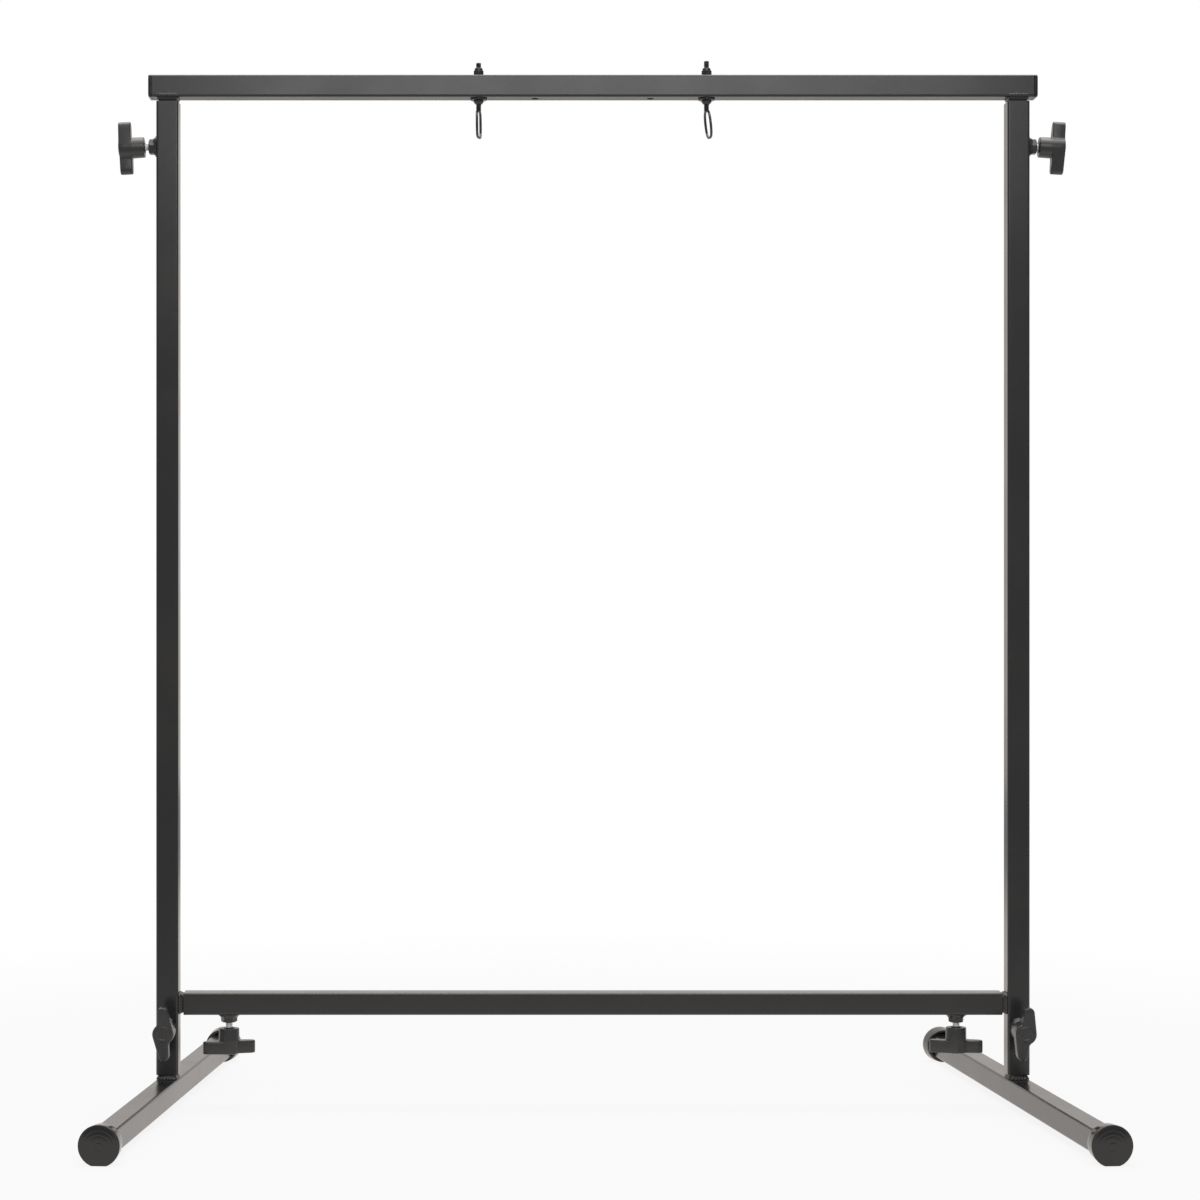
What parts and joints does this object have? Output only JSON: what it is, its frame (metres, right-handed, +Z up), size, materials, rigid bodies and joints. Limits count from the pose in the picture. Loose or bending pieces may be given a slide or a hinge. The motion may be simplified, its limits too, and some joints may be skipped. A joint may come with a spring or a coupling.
{
  "type": "gong stand",
  "caption": "Free-standing square-tube gong stand with a height-adjustable top frame, eye hooks, slip-on crossbar, splayed tube feet with round caps and wing clamp screws.",
  "frame": {"origin": "on the floor, under the middle of the stand", "axes": "+X along the beam to the right of someone facing the stand, +Y to the back, +Z up"},
  "size_m": [1.068, 0.6734, 1.1798],
  "materials": {
    "powder_coat": "dark grey fine-textured powder coat",
    "knob_plastic": "matt moulded plastic",
    "cap_plastic": "matt moulded plastic",
    "zinc": "bright zinc plate",
    "hook_steel": "blackened steel"
  },
  "bodies": {
    "base_frame": {"left_upright": "powder_coat", "right_upright": "powder_coat", "crossbar": "powder_coat", "left_crossbar_stub": "powder_coat", "right_crossbar_stub": "powder_coat", "left_height_weld_nut": "powder_coat", "right_height_weld_nut": "powder_coat", "left_crossbar_weld_nut": "powder_coat", "right_crossbar_weld_nut": "powder_coat", "left_foot_weld_nut": "powder_coat", "right_foot_weld_nut": "powder_coat"},
    "top_frame": {"beam": "powder_coat", "left_beam_plug": "cap_plastic", "right_beam_plug": "cap_plastic", "left_sliding_leg": "powder_coat", "right_sliding_leg": "powder_coat", "left_eye_hook": "hook_steel", "right_eye_hook": "hook_steel", "left_hook_washer": "hook_steel", "right_hook_washer": "hook_steel", "left_hook_nut": "hook_steel", "right_hook_nut": "hook_steel", "left_hook_lock_nut": "hook_steel", "right_hook_lock_nut": "hook_steel"},
    "left_foot": {"left_foot_tube": "powder_coat", "left_foot_stub": "powder_coat", "left_front_foot_cap": "cap_plastic", "left_back_foot_cap": "cap_plastic"},
    "right_foot": {"right_foot_tube": "powder_coat", "right_foot_stub": "powder_coat", "right_front_foot_cap": "cap_plastic", "right_back_foot_cap": "cap_plastic"},
    "left_height_screw": {"left_height_knob": "knob_plastic", "left_height_stud": "zinc"},
    "right_height_screw": {"right_height_knob": "knob_plastic", "right_height_stud": "zinc"},
    "left_crossbar_screw": {"left_crossbar_knob": "knob_plastic", "left_crossbar_stud": "zinc"},
    "right_crossbar_screw": {"right_crossbar_knob": "knob_plastic", "right_crossbar_stud": "zinc"},
    "left_foot_screw": {"left_foot_knob": "knob_plastic", "left_foot_stud": "zinc"},
    "right_foot_screw": {"right_foot_knob": "knob_plastic", "right_foot_stud": "zinc"}
  },
  "joints": [
    {"name": "height_slide", "type": "slide", "parent": "base_frame", "child": "top_frame", "axis": [0, 0, 1], "range_m": [0, 0.35]},
    {"name": "left_foot_pull", "type": "slide", "parent": "base_frame", "child": "left_foot", "axis": [0, 0, -1], "range_m": [0, 0.1]},
    {"name": "right_foot_pull", "type": "slide", "parent": "base_frame", "child": "right_foot", "axis": [0, 0, -1], "range_m": [0, 0.1]},
    {"name": "left_height_turn", "type": "hinge", "parent": "base_frame", "child": "left_height_screw", "pos_m": [-0.4955, 0, 1.083], "axis": [-0.9986, 0, -0.0523], "range_deg": [0, 450]},
    {"name": "right_height_turn", "type": "hinge", "parent": "base_frame", "child": "right_height_screw", "pos_m": [0.4955, 0, 1.083], "axis": [0.9986, 0, -0.0523], "range_deg": [0, 450]},
    {"name": "left_crossbar_turn", "type": "hinge", "parent": "base_frame", "child": "left_crossbar_screw", "pos_m": [-0.4099, 0, 0.1055], "axis": [0, 0, -1], "range_deg": [0, 450]},
    {"name": "right_crossbar_turn", "type": "hinge", "parent": "base_frame", "child": "right_crossbar_screw", "pos_m": [0.4099, 0, 0.1055], "axis": [0, 0, -1], "range_deg": [0, 450]},
    {"name": "left_foot_turn", "type": "hinge", "parent": "base_frame", "child": "left_foot_screw", "pos_m": [-0.4784, -0.0125, 0.09], "axis": [0, -1, 0], "range_deg": [0, 450]},
    {"name": "right_foot_turn", "type": "hinge", "parent": "base_frame", "child": "right_foot_screw", "pos_m": [0.4784, -0.0125, 0.09], "axis": [0, -1, 0], "range_deg": [0, 450]}
  ]
}
